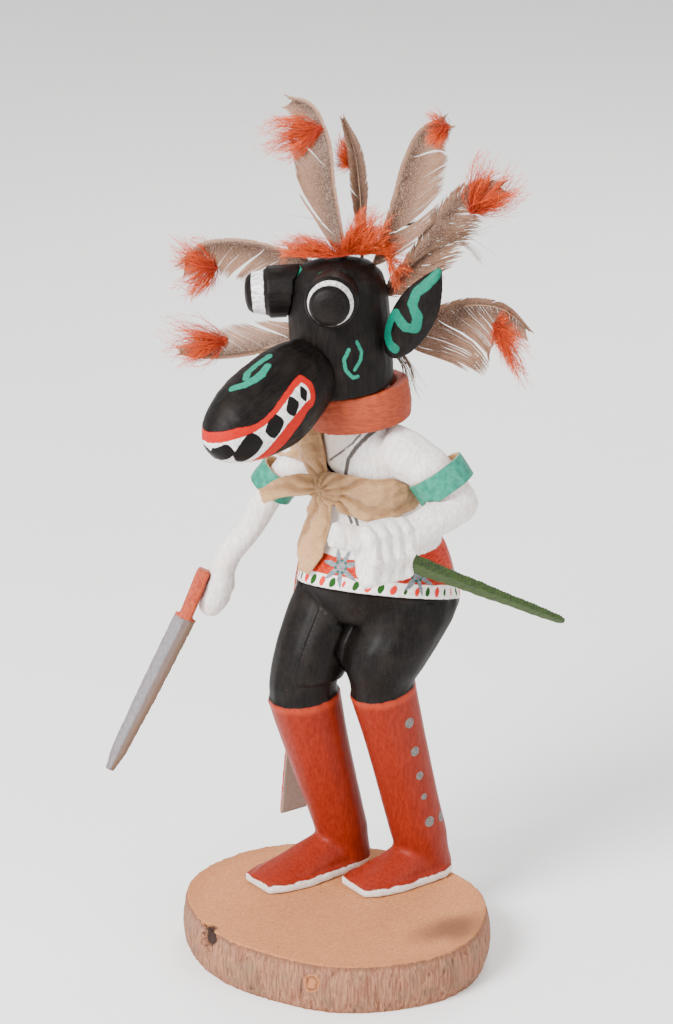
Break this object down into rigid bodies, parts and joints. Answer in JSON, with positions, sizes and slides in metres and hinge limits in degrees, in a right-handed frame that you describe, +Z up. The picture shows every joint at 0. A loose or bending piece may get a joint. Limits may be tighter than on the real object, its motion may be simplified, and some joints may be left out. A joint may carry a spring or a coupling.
{
  "type": "kachina doll",
  "caption": "Carved and painted masked dancer figure striding on a branch slice, with a long snout, feather crown, leather wrap, knife and yucca whip.",
  "frame": {"origin": "middle of the flat underside of the branch slice", "axes": "+Z up, the figure faces -Y and its left side is towards +X"},
  "size_m": [0.1331, 0.1319, 0.2871],
  "materials": {
    "slice_wood": "dry sawn wood with a rough bark edge",
    "white_paint": "flat white paint over carved wood",
    "black_paint": "dark paint with a slight sheen over carved wood",
    "orange_paint": "flat orange paint",
    "turquoise_leather": "painted leather strip",
    "chamois": "soft suede",
    "painted_leather": "painted leather, bare on the inner side",
    "grey_paint": "flat grey paint over carved wood",
    "green_paint": "satin green paint over carved wood",
    "red_paint": "flat red-brown paint over carved wood",
    "feather_web": "natural feather",
    "orange_down": "dyed down"
  },
  "bodies": {
    "root": {"base_slice": "slice_wood", "carved_figure": "white_paint", "head": "black_paint", "snout": "black_paint", "eye_left": "black_paint", "eye_right": "black_paint", "ear_left": "black_paint", "ear_right": "black_paint", "collar": "orange_paint", "armband_left": "turquoise_leather", "armband_right": "turquoise_leather", "chamois_wrap": "chamois", "side_sash": "painted_leather", "knife": "grey_paint", "yucca_whip": "green_paint", "feather_1": "feather_web", "feather_2": "feather_web", "feather_3": "feather_web", "feather_4": "feather_web", "feather_5": "feather_web", "feather_6": "feather_web", "feather_7": "feather_web", "tip_tuft_1": "orange_down", "tip_tuft_2": "orange_down", "tip_tuft_3": "orange_down", "tip_tuft_4": "orange_down", "tip_tuft_5": "orange_down", "tip_tuft_6": "orange_down", "tip_tuft_7": "orange_down", "crown_down": "orange_down"}
  },
  "joints": []
}
